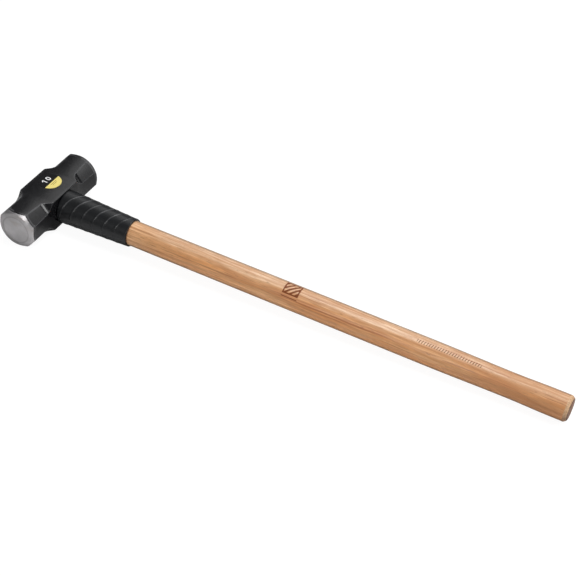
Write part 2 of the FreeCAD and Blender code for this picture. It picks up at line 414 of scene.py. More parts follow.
def head_half(side):
    """Rings of one half of the head, from its middle outwards, and how many are painted."""
    def at(flat_place, distance):
        return Vector((HEAD_X + flat_place.x, side * distance, flat_place.y))

    ramp_begin = BLOCK_END - 2 * BLOCK_SOFTNESS
    poll_begin = NECK + NECK_SOFTNESS
    distances = evenly(0, ramp_begin, BLOCK_STEPS)[:-1]
    distances += evenly(ramp_begin, poll_begin, RAMP_STEPS)[:-1]
    rings = [[at(place, distance) for place in head_outline(distance)] for distance in distances]

    begin = head_outline(poll_begin)
    shoulder = head_outline(SHOULDER)
    edges = [paint_edge(poll_begin, first, last) for first, last in zip(begin, shoulder)]

    def poll_place(column, distance):
        share = (distance - poll_begin) / (SHOULDER - poll_begin)
        return begin[column].lerp(shoulder[column], share)

    for share in evenly(0, 1, POLL_STEPS):
        distances = [between(poll_begin, edge, share) for edge in edges]
        rings.append([
            at(poll_place(column, distance), distance) for column, distance in enumerate(distances)
        ])
    painted = len(rings)

    rim_start = SHOULDER + TURNED_ROUNDING
    for share in evenly(0, 1, LIP_STEPS)[1:]:
        ring = []
        for column, edge in enumerate(edges):
            distance = between(edge, rim_start, share)
            place = poll_place(column, distance)
            radius = min(place.length, turned_radius(distance))
            ring.append(at(place.normalized() * radius, distance))
        rings.append(ring)

    directions = [place.normalized() for place in shoulder]
    path = rounded_path(
        [
            (rim_start, read_profile(TURNED_RADII, rim_start)),
            (RIM, read_profile(TURNED_RADII, RIM)),
            (FACE_Y, FACE_FLAT_RADIUS),
            (FACE_Y, 0.85 * FACE_FLAT_RADIUS),
        ],
        FACE_ROUNDING,
    )
    path += [(FACE_Y, share * FACE_FLAT_RADIUS) for share in (0.7, 0.45, 0.2)]
    for distance, radius in path[1:]:
        rings.append([at(direction * radius, distance) for direction in directions])
    return rings, painted


def eye_half_sizes(x):
    """Half length and half width of the waisted eye at x."""
    inset = EYE_FLARE * (1 - ((x - HEAD_X) / HALF_WIDTH) ** 2)
    return EYE_MOUTH_HALF_LENGTH - inset, EYE_MOUTH_HALF_WIDTH - inset


def oval_ring(x, half_length, half_width, count=OVAL_POINTS):
    """Ring of points across the handle, with its half sizes along y and z."""
    return [
        Vector((x, half_length * math.cos(angle), half_width * math.sin(angle)))
        for angle in full_turn(count)
    ]


def eye_cutter():
    """Solid of the waisted eye, with its chamfered mouths."""
    rings = []
    overshoot = 2 * MM
    stations = [HEAD_LOW.x - overshoot, HEAD_LOW.x]
    stations += evenly(HEAD_LOW.x + EYE_CHAMFER, HEAD_HIGH.x - EYE_CHAMFER, EYE_STEPS)
    stations += [HEAD_HIGH.x, HEAD_HIGH.x + overshoot]
    for x in stations:
        half_length, half_width = eye_half_sizes(min(max(x, HEAD_LOW.x), HEAD_HIGH.x))
        depth = min(x - HEAD_LOW.x, HEAD_HIGH.x - x)
        flare = max(EYE_CHAMFER - depth, 0)
        rings.append(oval_ring(x, half_length + flare, half_width + flare))
    return skin("eye_cutter", rings)


def build_head():
    near_rings, painted = head_half(-1)
    far_rings, _ = head_half(1)
    rings = near_rings[::-1] + far_rings[1:]
    bands = [PAINTED] * (painted - 1) + [GROUND] * (len(near_rings) - painted)
    head = skin("head_forging", rings, bands[::-1] + bands)
    cut_with(head, eye_cutter())
    shade(head)
    stand_for(head, "head", "head_steel", black_paint(), ground_steel())


# -------- handle

def handle_half_sizes(x):
    """Half sizes along y and z of the handle's cross-section, up to the end of the guard."""
    if x <= HEAD_HIGH.x:
        half_length, half_width = eye_half_sizes(x)
        return half_length - JOINT_GAP, half_width - JOINT_GAP
    share = smooth_share(x, HEAD_HIGH.x, HEAD_HIGH.x + NECK_BLEND_LENGTH)
    return (
        between(EYE_MOUTH_HALF_LENGTH, SEAT_RADIUS, share),
        between(EYE_MOUTH_HALF_WIDTH, SEAT_RADIUS, share),
    )


def shaft_radius(x):
    """Radius of the bare wood: a cylinder, a slim grip and a slightly wider butt."""
    if x < GRIP_WAIST:
        return between(HANDLE_RADIUS, WAIST_RADIUS, smooth_share(x, GRIP_START, GRIP_WAIST))
    return between(WAIST_RADIUS, BUTT_RADIUS, smooth_share(x, GRIP_WAIST, BUTT_START))


def butt_path():
    """Places and radii down the worn edge of the butt and in across its sawn end."""
    edge_start = HANDLE_END - BUTT_EDGE_LENGTH
    return rounded_path(
        [
            (edge_start - 1.5 * MM, BUTT_RADIUS),
            (edge_start, BUTT_RADIUS),
            (HANDLE_END, BUTT_RADIUS - BUTT_CHAMFER),
            (HANDLE_END, BUTT_RADIUS - 2 * BUTT_CHAMFER),
        ],
        BUTT_ROUNDING,
    )


def build_handle():
    butt = butt_path()
    hidden = evenly(HANDLE_LOW.x, HEAD_HIGH.x, TENON_STEPS)
    hidden += evenly(HEAD_HIGH.x, GUARD_HIGH.x, SEAT_STEPS)[1:]
    rings = [oval_ring(x, *handle_half_sizes(x)) for x in hidden]
    for x in evenly(GUARD_HIGH.x, butt[0][0], SHAFT_STEPS):
        rings.append(oval_ring(x, shaft_radius(x), shaft_radius(x)))
    bands = [VARNISHED] * (len(rings) - 1)

    for x, radius in butt[1:]:
        rings.append(oval_ring(x, radius, radius))
    sawn_bands = 3  # the path's last bands already show the end grain
    bands += [BARE] * (len(butt) - 1 - sawn_bands)
    for share in (0.6, 0.35, 0.15):
        rings.append(oval_ring(HANDLE_END, share * BUTT_RADIUS, share * BUTT_RADIUS))
    bands += [SAWN] * (len(rings) - 1 - len(bands))

    handle = skin("handle_wood", rings, bands)
    for node in ("wood_wedge", "steel_wedges"):
        cut_with(handle, grown_copy(node, KERF_GAP))
    mark_sawn_end(handle)
    shade(handle)
    stand_for(handle, "handle", "hickory", hickory(), end_grain(), bare_edge())


def mark_sawn_end(handle):
    """Give the sawn end inside the head's eye the end-grain material too."""
    for face in handle.data.polygons:
        at_end = face.center.x < HANDLE_LOW.x + 0.1 * MM
        facing_end = abs(face.normal.x) > 0.9
        if at_end and facing_end:
            face.material_index = SAWN


def grown_copy(node, distance):
    """Copy of a CAD node's shape with its surface pushed outwards."""
    builder = bmesh.new()
    builder.from_mesh(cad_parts[node].data)
    bmesh.ops.remove_doubles(builder, verts=builder.verts, dist=0.01 * MM)
    bmesh.ops.recalc_face_normals(builder, faces=builder.faces)
    builder.normal_update()
    moves = [(vertex, vertex.normal * vertex.calc_shell_factor()) for vertex in builder.verts]
    for vertex, move in moves:
        vertex.co += move * distance
    return add_piece(node + "_cutter", builder)


# -------- guard

def ridge_height(x, y):
    """Height of the slanted moulded ridges above the guard's plain cone."""
    height = 0.0
    for index in range(RIDGE_COUNT):
        middle = FIRST_RIDGE_X + index * RIDGE_SPACING + y * math.tan(RIDGE_SLANT)
        offset = (x - middle) * math.cos(RIDGE_SLANT) / RIDGE_HALF_WIDTH
        height += RIDGE_HEIGHT * math.exp(-(offset ** 2))
    return height


def mark_ridges(guard):
    """Store for each point how much of the ridges' worn crests it carries, most on the upper side
    as a painted highlight.
    """
    crests = guard.data.attributes.new("crest_wear_and_sheen", "FLOAT", "POINT")
    for vertex, crest_wear_and_sheen in zip(guard.data.vertices, crests.data):
        x, y, z = vertex.co
        outward = math.hypot(y, z) > HANDLE_RADIUS + 1.0 * MM
        upward = math.atan2(z, -y) / math.pi
        # Painted highlight: the upper side, where light falls, gets the lighter crests
        worn = smooth_share(upward, CREST_HIGHLIGHT_START, CREST_HIGHLIGHT_FULL)
        crest_wear_and_sheen.value = outward * worn * ridge_height(x, y) / RIDGE_HEIGHT


def guard_ring(x, radius, ridged):
    """Ring of the guard's outer surface; ridged is 1 on the open cone and 0 at its rims."""
    ring = []
    for angle in full_turn(GUARD_POINTS):
        out = radius + ridged * ridge_height(x, radius * math.cos(angle))
        ring.append(Vector((x, out * math.cos(angle), out * math.sin(angle))))
    return ring


def build_guard():
    start = GUARD_LOW.x
    end = GUARD_HIGH.x

    def cone_radius(x):
        return between(GUARD_HEAD_RADIUS, GUARD_END_RADIUS, (x - start) / (end - start))

    head_rim = rounded_path(
        [
            (start, GUARD_HEAD_RADIUS - 2 * GUARD_HEAD_ROUNDING),
            (start, GUARD_HEAD_RADIUS),
            (start + 2 * GUARD_HEAD_ROUNDING, cone_radius(start + 2 * GUARD_HEAD_ROUNDING)),
        ],
        GUARD_HEAD_ROUNDING,
    )
    end_rim = rounded_path(
        [
            (end - 2 * GUARD_END_ROUNDING, cone_radius(end - 2 * GUARD_END_ROUNDING)),
            (end, GUARD_END_RADIUS),
            (end, HANDLE_RADIUS),
        ],
        GUARD_END_ROUNDING,
    )
    rings = [guard_ring(x, radius, 0) for x, radius in head_rim]
    for x in evenly(head_rim[-1][0], end_rim[0][0], GUARD_STEPS)[1:]:
        ridged = smooth_share(x, end, end - 3 * GUARD_END_ROUNDING)
        rings.append(guard_ring(x, cone_radius(x), ridged))
    rings += [guard_ring(x, radius, 0) for x, radius in end_rim[1:]]
    below_head = HEAD_HIGH.x + 0.01 * MM
    for x in evenly(end, start, SEAT_STEPS):
        rings.append(oval_ring(x, *handle_half_sizes(max(x, below_head)), GUARD_POINTS))
    guard = skin("guard_sleeve", rings, joined=True)
    mark_ridges(guard)
    shade(guard, 50)
    stand_for(guard, "overstrike_guard", "guard_rubber", rubber())


# -------- label

def label_disc():
    """Thin disc, split along the line where its dark print meets its yellow print."""
    centre = (LABEL_LOW + LABEL_HIGH) / 2
    bottom = LABEL_LOW.z - 2 * HALF_WIDTH * CROWN_SHARE  # sunk into the crowned cheek
    thickness = LABEL_HIGH.z - bottom
    builder = bmesh.new()
    place = Matrix.Translation((centre.x, centre.y, bottom))
    bmesh.ops.create_circle(
        builder, cap_ends=True, segments=LABEL_POINTS, radius=LABEL_RADIUS, matrix=place,
    )
    lifted = bmesh.ops.extrude_face_region(builder, geom=builder.faces[:])
    top = [item for item in lifted["geom"] if isinstance(item, bmesh.types.BMVert)]
    bmesh.ops.translate(builder, verts=top, vec=(0, 0, thickness))
    everything = builder.verts[:] + builder.edges[:] + builder.faces[:]
    split = Vector((LABEL_SPLIT_X, 0, 0))
    bmesh.ops.bisect_plane(builder, geom=everything, plane_co=split, plane_no=(1, 0, 0))
    bmesh.ops.recalc_face_normals(builder, faces=builder.faces)
    for face in builder.faces:
        beyond_split = face.calc_center_median().x > LABEL_SPLIT_X
        face.material_index = YELLOW if beyond_split else BLACK
    return builder


def print_shape(builder, outline, hole, material_index):
    """Add flat ink to the label: an outline of (along +y, up -x) points, perhaps with a hole."""
    top = LABEL_HIGH.z + INK_THICKNESS

    def ring(places, height):
        return [builder.verts.new((DIGIT_BASE_X - up, y, height)) for y, up in places]

    outer = ring(outline, top)
    faces = list(quads_between(outer, ring(outline, LABEL_HIGH.z)))
    if hole:
        inner = ring(hole, top)
        faces += quads_between(outer, inner)
        faces += quads_between(inner, ring(hole, LABEL_HIGH.z))
    else:
        faces.append(outer)
    for corners in faces:
        builder.faces.new(corners).material_index = material_index


def digit_one():
    """Outline of a 1: a stem with a flag at its top left."""
    stem = 0.28 * DIGIT_WIDTH
    left = DIGIT_ONE_Y - stem / 2
    right = DIGIT_ONE_Y + stem / 2
    flag = left - 0.42 * DIGIT_WIDTH
    return [
        (left, 0), (right, 0), (right, DIGIT_HEIGHT), (left, DIGIT_HEIGHT),
        (flag, 0.78 * DIGIT_HEIGHT), (flag, 0.60 * DIGIT_HEIGHT), (left, 0.74 * DIGIT_HEIGHT),
    ]


def digit_zero(shrink):
    """Outline of a 0, or of its hole: a squarish oval."""
    half_width = DIGIT_WIDTH / 2 - shrink
    half_height = DIGIT_HEIGHT / 2 - shrink
    outline = []
    for angle in full_turn(DIGIT_POINTS):
        across = math.copysign(abs(math.cos(angle)) ** 0.8, math.cos(angle))
        up = math.copysign(abs(math.sin(angle)) ** 0.8, math.sin(angle))
        outline.append((DIGIT_ZERO_Y + half_width * across, DIGIT_HEIGHT / 2 + half_height * up))
    return outline


def print_bar(up, half_length):
    """Outline of a bar in place of a line of small print."""
    middle_y = (LABEL_LOW.y + LABEL_HIGH.y) / 2
    left, right = middle_y - half_length, middle_y + half_length
    foot, top = up - BAR_HALF_HEIGHT, up + BAR_HALF_HEIGHT
    return [(left, foot), (right, foot), (right, top), (left, top)]


def build_label():
    builder = label_disc()
    print_shape(builder, digit_one(), None, WHITE)
    print_shape(builder, digit_zero(0), digit_zero(DIGIT_STROKE), WHITE)
    for up, half_length in BARS:
        print_shape(builder, print_bar(up, half_length), None, OCHRE)
    label = add_piece("weight_label", builder)
    stand_for(
        label, "head_label", "label_paper",
        printed_paper("label_black", (0.006, 0.006, 0.007), 0.15),
        printed_paper("label_yellow", (0.95, 0.80, 0.24)),
        printed_paper("label_white", (0.95, 0.95, 0.95)),
        printed_paper("label_ochre", (0.36, 0.27, 0.06)),
    )


# -------- materials

class Graph:
    """Node graph of a new material, or of the world, built from short calls."""

    def __init__(
        self, name, owners=bpy.data.materials, surface="Principled BSDF", coordinates="Object",
    ):
        self.owner = owners.new(name)
        self.owner.use_nodes = True
        self.nodes = self.owner.node_tree.nodes
        self.links = self.owner.node_tree.links
        self.surface = self.nodes[surface]
        self.place = self.add("ShaderNodeTexCoord").outputs[coordinates]
        separate = self.add("ShaderNodeSeparateXYZ")
        self.feed(separate.inputs[0], self.place)
        self.x, self.y, self.z = separate.outputs

    def add(self, kind, **settings):
        node = self.nodes.new(kind)
        for setting, value in settings.items():
            setattr(node, setting, value)
        return node

    def feed(self, socket, value):
        """Link a node's output into the socket, or store a plain value in it."""
        if isinstance(value, bpy.types.NodeSocket):
            self.links.new(value, socket)
        elif socket.type == "RGBA":
            socket.default_value = (*value, 1.0)
        else:
            socket.default_value = value

    def fill(self, node, **inputs):
        """Set inputs of the node, named with underscores for spaces."""
        for name, value in inputs.items():
            self.feed(node.inputs[name.replace("_", " ")], value)

    def set(self, **inputs):
        self.fill(self.surface, **inputs)

    def math(self, operation, first, second=0.0):
        node = self.add("ShaderNodeMath", operation=operation)
        self.feed(node.inputs[0], first)
        self.feed(node.inputs[1], second)
        return node.outputs[0]

    def times(self, first, second):
        return self.math("MULTIPLY", first, second)

    def vector(self, operation, first, second=(0.0, 0.0, 0.0)):
        node = self.add("ShaderNodeVectorMath", operation=operation)
        self.feed(node.inputs[0], first)
        self.feed(node.inputs[1], second)
        return node.outputs["Value" if operation == "LENGTH" else "Vector"]

    def length(self, vector, stretch):
        """Length of the vector after its axes are stretched."""
        return self.vector("LENGTH", self.vector("MULTIPLY", vector, stretch))

    def noise(self, vector, detail=2.0, output="Fac"):
        node = self.add("ShaderNodeTexNoise")
        self.fill(node, Vector=vector, Scale=1.0, Detail=detail)
        return node.outputs[output]

    def stretched_noise(self, along, across, detail=2.0):
        """Noise with so many blobs per metre along the x axis and across it."""
        scaled = self.vector("MULTIPLY", self.place, (along, across, across))
        return self.noise(scaled, detail)

    def remap(self, value, low, high, to_low=0.0, to_high=1.0):
        """Smooth change from to_low to to_high while the value goes from low to high."""
        node = self.add("ShaderNodeMapRange", interpolation_type="SMOOTHSTEP")
        self.fill(node, Value=value, From_Min=low, From_Max=high, To_Min=to_low, To_Max=to_high)
        return node.outputs["Result"]

    def inside(self, value, half_size, softness):
        """1 where the value is within half_size of zero, fading to 0 over the softness."""
        size = self.math("ABSOLUTE", value)
        return self.remap(size, half_size, half_size + softness, 1.0, 0.0)

    def blend(self, share, first, second):
        """Colour between the first and the second; 6 and 7 are a Mix node's colour sockets."""
        node = self.add("ShaderNodeMix", data_type="RGBA")
        self.feed(node.inputs[0], share)
        self.feed(node.inputs[6], first)
        self.feed(node.inputs[7], second)
        return node.outputs[2]

    def bump(self, height, distance, strength=1.0, normal=None):
        """Normal over the bumps, and over those of another normal where one is given."""
        node = self.add("ShaderNodeBump")
        self.fill(node, Height=height, Distance=distance, Strength=strength)
        if normal:
            self.feed(node.inputs["Normal"], normal)
        return node.outputs["Normal"]


def black_paint():
    """Satin black paint over a forging: orange peel, faint dust, soft dents, and worn edges that
    are lightened as painted edge highlights too.
    """
    paint = Graph("black_paint")
    blotches = paint.stretched_noise(35, 35, 3)
    dust = paint.remap(paint.stretched_noise(160, 160, 4), 0.5, 0.85)
    black = paint.blend(dust, (0.005, 0.005, 0.006), (0.012, 0.012, 0.014))
    uneven = paint.remap(blotches, 0.35, 0.60, 0.5, 1.0)
    before_rim = paint.inside(paint.y, SHOULDER - 5.0 * MM, 4.0 * MM)
    round_eye = paint.times(
        paint.inside(paint.y, BLOCK_END - 6.0 * MM, 2.0 * MM),
        paint.inside(paint.z, CHEEK_Z - 4.0 * MM, 1.5 * MM),
    )
    exposed = paint.math("SUBTRACT", before_rim, round_eye)
    # Painted highlight: convex edges get a lighter colour that stands in for the lines of light
    # along them, as well as for worn paint.
    pointiness = paint.add("ShaderNodeNewGeometry").outputs["Pointiness"]
    edges = paint.remap(pointiness, 0.5015, 0.510)  # 0.5 is flat and more is convex
    edge_wear_and_highlight = paint.times(edges, paint.times(exposed, uneven))
    paint.set(
        Base_Color=paint.blend(edge_wear_and_highlight, black, (0.070, 0.070, 0.074)),
        Roughness=paint.remap(blotches, 0.3, 0.7, 0.15, 0.21),
        IOR=1.5,
    )
    dents = paint.bump(blotches, 0.5 * MM, 0.25)
    paint.set(Normal=paint.bump(paint.stretched_noise(900, 900), 0.05 * MM, 0.35, dents))
    return paint.owner


def ground_steel():
    """Bare steel ground round the head's axis, with dull patches, brownish smears and a painted
    dark ring of shade round the flat face.
    """
    steel = Graph("ground_steel")
    patches = steel.stretched_noise(50, 50, 3)
    smears = steel.remap(steel.stretched_noise(28, 60, 3), 0.55, 0.8, 0.0, 0.6)
    grey = steel.blend(steel.remap(patches, 0.3, 0.7), (0.58, 0.565, 0.57), (0.72, 0.70, 0.71))
    around = steel.vector("SUBTRACT", steel.place, HEAD_MIDDLE)
    radius = steel.length(around, (1.0, 0.35, 1.0))
    scratches = steel.noise(steel.vector("MULTIPLY", around, (400.0, 900.0, 2500.0)), 3)
    turning = steel.math("SINE", steel.times(radius, 9000.0))
    grinding = steel.math("ADD", scratches, steel.times(turning, 0.12))
    # Painted shade: a soft dark ring where the flat face meets its rounded rim.
    off_axis = steel.length(around, (1.0, 0.0, 1.0))
    from_edge = steel.math("ABSOLUTE", steel.math("SUBTRACT", off_axis, FACE_FLAT_RADIUS))
    painted_edge_shade = steel.remap(from_edge, 0.3 * MM, 1.8 * MM, 0.30, 0.0)
    smeared = steel.blend(smears, grey, (0.40, 0.33, 0.28))
    steel.set(
        Base_Color=steel.blend(painted_edge_shade, smeared, (0.24, 0.22, 0.21)),
        Metallic=1.0,
        Roughness=steel.remap(patches, 0.25, 0.75, 0.36, 0.52),
        Normal=steel.bump(grinding, 0.03 * MM, 0.4),
    )
    return steel.owner


def rubber():
    """Moulded black rubber with a fine matt skin, and ridges that are worn grey and lightened most
    on the upper side as a painted highlight.
    """
    moulded = Graph("guard_rubber")
    patches = moulded.stretched_noise(60, 60, 3)
    grain = moulded.stretched_noise(1300, 1300, 2)
    uneven = moulded.remap(moulded.stretched_noise(45, 90, 2), 0.35, 0.60, 0.45, 1.0)
    fading = moulded.remap(moulded.x, GUARD_HIGH.x - 34.0 * MM, GUARD_HIGH.x - 12.0 * MM, 1.0, 0.25)
    visible = moulded.times(uneven, fading)
    height = moulded.add("ShaderNodeAttribute", attribute_name="crest_wear_and_sheen").outputs["Fac"]
    crest_wear_and_sheen = moulded.times(height, visible)
    black = moulded.blend(patches, (0.004, 0.0045, 0.005), (0.010, 0.011, 0.013))
    moulded.set(
        Base_Color=moulded.blend(crest_wear_and_sheen, black, (0.10, 0.10, 0.105)),
        Roughness=moulded.remap(crest_wear_and_sheen, 0.0, 1.0, 0.35, 0.28),
        IOR=1.5,
        Normal=moulded.bump(grain, 0.08 * MM, 0.4),
    )
    return moulded.owner


def arc_from_top(wood):
    """Distance round the handle from its top line towards -y."""
    return wood.times(wood.math("ARCTAN2", wood.times(wood.y, -1.0), wood.z), HANDLE_RADIUS)


def growth_ring(wood, pith_distance):
    """Sawtooth from 0 to 1 across every growth ring."""
    return wood.math("FRACT", wood.math("DIVIDE", pith_distance, GROWTH_RING_WIDTH))


def pale_wood_and_top_light(wood, clouds):
    """1 on the paler band along the top of the handle, with a wavering border: pale outer wood and
    painted light from above.
    """
    towards = wood.math(
        "ADD",
        wood.times(wood.y, math.sin(PALE_TOP_TURN)),
        wood.times(wood.z, math.cos(PALE_TOP_TURN)),
    )
    waver = 6.0 * MM
    wavering = wood.math("ADD", towards, wood.times(clouds, waver))
    return wood.remap(wavering, 0.50 * HANDLE_RADIUS + waver / 2, 0.92 * HANDLE_RADIUS + waver / 2)


def wood_grain(wood):
    """Colour of bare hickory, with painted light on its top and painted shade underneath, and a
    height for its pores, from the object's coordinates.
    """
    slow_wander = wood.noise(wood.vector("MULTIPLY", wood.place, (3.0, 9.0, 9.0)), 1.0, "Color")
    centred = wood.vector("SUBTRACT", slow_wander, (0.5, 0.5, 0.5))
    wandering = wood.vector("MULTIPLY", centred, GRAIN_WANDER)
    bent = wood.vector("ADD", wood.place, wandering)
    from_pith = wood.vector("SUBTRACT", bent, PITH)
    pith_distance = wood.length(from_pith, (0.02, 1.0, 1.0))
    ring = growth_ring(wood, pith_distance)
    late_wood = wood.times(wood.remap(ring, 0.15, 0.8), wood.remap(ring, 1.0, 0.88))

    streaks = wood.stretched_noise(13, 230, 3)
    veins = wood.remap(wood.stretched_noise(10, 360, 2), 0.58, 0.72)
    fibres = wood.stretched_noise(38, 620, 3)
    flecks = wood.remap(wood.stretched_noise(75, 800, 2), 0.60, 0.72)
    pores = wood.remap(wood.stretched_noise(55, 2300, 1), 0.66, 0.76)
    clouds = wood.stretched_noise(8, 50, 2)

    heart = wood.blend(wood.remap(streaks, 0.3, 0.7), (0.78, 0.345, 0.120), (1.0, 0.59, 0.285))
    tan = wood.blend(wood.remap(clouds, 0.35, 0.65, 0.0, 0.45), heart, (0.84, 0.36, 0.11))
    pale = wood.blend(wood.remap(streaks, 0.3, 0.7), (0.77, 0.47, 0.265), (0.93, 0.67, 0.445))
    # Painted light: the top of the handle is paler, as pale outer wood and as light from above
    plain = wood.blend(pale_wood_and_top_light(wood, clouds), tan, pale)
    near_guard = wood.remap(wood.x, GUARD_HIGH.x, GUARD_HIGH.x + 70.0 * MM, 0.7, 0.0)
    fresh = wood.blend(near_guard, plain, (1.0, 0.62, 0.33))
    towards_butt = wood.remap(wood.x, GRIP_START - 80.0 * MM, HANDLE_END, 0.0, 0.85)
    # Painted shade: darker on the lower side, towards the floor, on top of the real grime of
    # handling towards the butt
    underside_shade = wood.remap(arc_from_top(wood), 12.0 * MM, 32.0 * MM, 0.35, 1.0)
    grip_grime_and_underside_shade = wood.times(towards_butt, underside_shade)
    handled_and_underside_shaded = wood.blend(grip_grime_and_underside_shade, fresh, (0.52, 0.22, 0.085))
    ringed = wood.blend(wood.times(late_wood, 0.45), handled_and_underside_shaded, (0.52, 0.20, 0.070))
    veined = wood.blend(wood.times(veins, 0.65), ringed, (0.42, 0.13, 0.040))
    fibrous = wood.blend(wood.remap(fibres, 0.36, 0.66, 0.0, 0.50), veined, (0.52, 0.24, 0.10))
    flecked = wood.blend(wood.times(flecks, 0.55), fibrous, (0.34, 0.14, 0.055))
    colour = wood.blend(wood.times(pores, 0.40), flecked, (0.18, 0.08, 0.035))
    return colour, pores


def heart_streaks(wood):
    """Three dark heartwood lines side by side, fading out at both ends."""
    arc = arc_from_top(wood)
    waver = wood.times(wood.stretched_noise(9, 0, 2), STREAK_WAVER)
    middle = wood.math("SUBTRACT", wood.math("ADD", arc, waver), STREAKS_ARC + STREAK_WAVER / 2)
    streaks = 0.0
    for offset, strength in STREAKS:
        beside = wood.math("ADD", middle, offset)
        line = wood.times(wood.inside(beside, 0.4 * MM, 1.6 * MM), strength)
        streaks = wood.math("MAXIMUM", streaks, line)
    from_middle = wood.math("SUBTRACT", wood.x, STREAKS_X)
    fading = wood.inside(from_middle, 0.4 * STREAKS_HALF_LENGTH, 0.6 * STREAKS_HALF_LENGTH)
    return wood.times(streaks, fading)


def rectangle(wood, along, across, half_length, half_width):
    """1 inside a rectangle, with softly burnt edges."""
    return wood.times(
        wood.inside(along, half_length, BURN_SOFTNESS),
        wood.inside(across, half_width, BURN_SOFTNESS),
    )


def brand_mark(wood):
    """Mask of a framed square with diagonal bars and a line below it."""
    along = wood.math("SUBTRACT", wood.x, BRAND_X)
    across = wood.math("SUBTRACT", arc_from_top(wood), BRAND_ARC)
    square = rectangle(wood, along, across, BRAND_HALF_LENGTH, BRAND_HALF_WIDTH)
    field = rectangle(
        wood, along, across,
        BRAND_HALF_LENGTH - BRAND_FRAME_WIDTH, BRAND_HALF_WIDTH - BRAND_FRAME_WIDTH,
    )
    diagonal = wood.math("DIVIDE", wood.math("ADD", along, across), BRAND_BAR_SPACING)
    bars = wood.remap(wood.math("PINGPONG", diagonal, 1.0), 0.38, 0.62)
    brand = wood.times(square, wood.math("SUBTRACT", 1.0, wood.times(field, bars)))
    below = wood.math("SUBTRACT", across, BRAND_HALF_WIDTH + BRAND_LINE_DROP)
    line = rectangle(wood, along, below, BRAND_HALF_LENGTH, BRAND_LINE_HALF_WIDTH)
    return wood.math("MAXIMUM", brand, line)


def tick_marks(wood):
    """Mask of a row of slanted ticks."""
    along = wood.math("SUBTRACT", wood.x, TICKS_X)
    across = wood.math("SUBTRACT", arc_from_top(wood), TICKS_ARC)
    slanted = wood.math("ADD", along, wood.times(across, TICK_SLANT))
    phase = wood.math("PINGPONG", wood.math("DIVIDE", slanted, TICK_SPACING / 2), 1.0)
    band = rectangle(wood, along, across, TICKS_HALF_LENGTH, TICKS_HALF_WIDTH - BURN_SOFTNESS)
    return wood.times(band, wood.remap(phase, 0.55, 0.75))


def hickory():
    """Varnished hickory: wandering rings, streaks, fibres and pores, with two burnt marks, and
    painted shade at the guard and along its outline.
    """
    wood = Graph("hickory")
    colour, pores = wood_grain(wood)
    brand = brand_mark(wood)
    ticks = tick_marks(wood)
    burnt = wood.math("MAXIMUM", brand, ticks)
    unburnt = wood.math("SUBTRACT", 1.0, burnt)
    streaked = wood.blend(wood.times(heart_streaks(wood), 0.80), colour, (0.42, 0.11, 0.020))
    # Painted shade: a thin dark band on the wood where it meets the guard's end
    guard_contact_shade = wood.remap(wood.x, GUARD_HIGH.x + 0.4 * MM, GUARD_HIGH.x + 1.6 * MM, 0.70, 0.0)
    guard_contact_shaded = wood.blend(guard_contact_shade, streaked, (0.10, 0.045, 0.02))
    # Painted shade: the wood darkens where its surface turns edge-on to the camera
    edge_on = wood.add("ShaderNodeLayerWeight").outputs["Facing"]
    outline = wood.remap(edge_on, 0.45, 0.80, 0.0, 0.70)
    shaded = wood.blend(outline, guard_contact_shaded, (0.25, 0.16, 0.10))
    scorched = wood.blend(wood.times(brand, 0.92), shaded, (0.19, 0.050, 0.020))
    stamped = wood.blend(wood.times(ticks, 0.85), scorched, (0.20, 0.070, 0.028))
    hollow = wood.math("MAXIMUM", wood.times(pores, 0.2), burnt)
    ripple = wood.bump(wood.stretched_noise(14, 240, 2), 0.25 * MM, 0.12)
    worn = wood.remap(wood.x, GRIP_START, HANDLE_END, 0.0, 0.18)
    polish = wood.remap(wood.stretched_noise(25, 300, 2), 0.3, 0.7, 0.34, 0.46)
    wood.set(
        Base_Color=stamped,
        Roughness=wood.math("ADD", polish, worn),
        Specular_IOR_Level=wood.remap(burnt, 0.0, 1.0, 0.5, 0.05),
        Coat_Weight=wood.times(unburnt, wood.math("SUBTRACT", 0.2, worn)),
        Coat_Roughness=0.35,
        Normal=wood.bump(hollow, -0.2 * MM, 0.3, ripple),
    )
    return wood.owner


def end_grain():
    """Sawn end of the handle: curved growth rings dotted with pores, darker than the sides, with a
    painted dark ring of shade round its edge.
    """
    wood = Graph("hickory_end_grain")
    from_pith = wood.vector("SUBTRACT", wood.place, PITH)
    pith_distance = wood.length(from_pith, (0.0, 1.0, 1.0))
    wobble = wood.times(wood.stretched_noise(0, 120, 2), 0.8 * MM)
    ring = growth_ring(wood, wood.math("ADD", pith_distance, wobble))
    late_wood = wood.remap(ring, 0.2, 0.9)
    pores = wood.remap(wood.stretched_noise(0, 2600, 1), 0.60, 0.70)
    flat = wood.blend(late_wood, (0.38, 0.20, 0.125), (0.21, 0.10, 0.06))
    # Painted shade: a dark ring round the sawn end, just inside its bevelled edge
    axis_distance = wood.length(wood.place, (0.0, 1.0, 1.0))
    rim = wood.remap(axis_distance, END_RIM_RADIUS - 2.6 * MM, END_RIM_RADIUS - 0.6 * MM, 0.0, 0.95)
    rim_shaded = wood.blend(rim, flat, (0.03, 0.015, 0.01))
    wood.set(
        Base_Color=wood.blend(wood.times(pores, 0.7), rim_shaded, (0.10, 0.05, 0.03)),
        Roughness=0.62,
        Specular_IOR_Level=0.2,
        Normal=wood.bump(pores, -0.15 * MM, 0.5),
    )
    return wood.owner


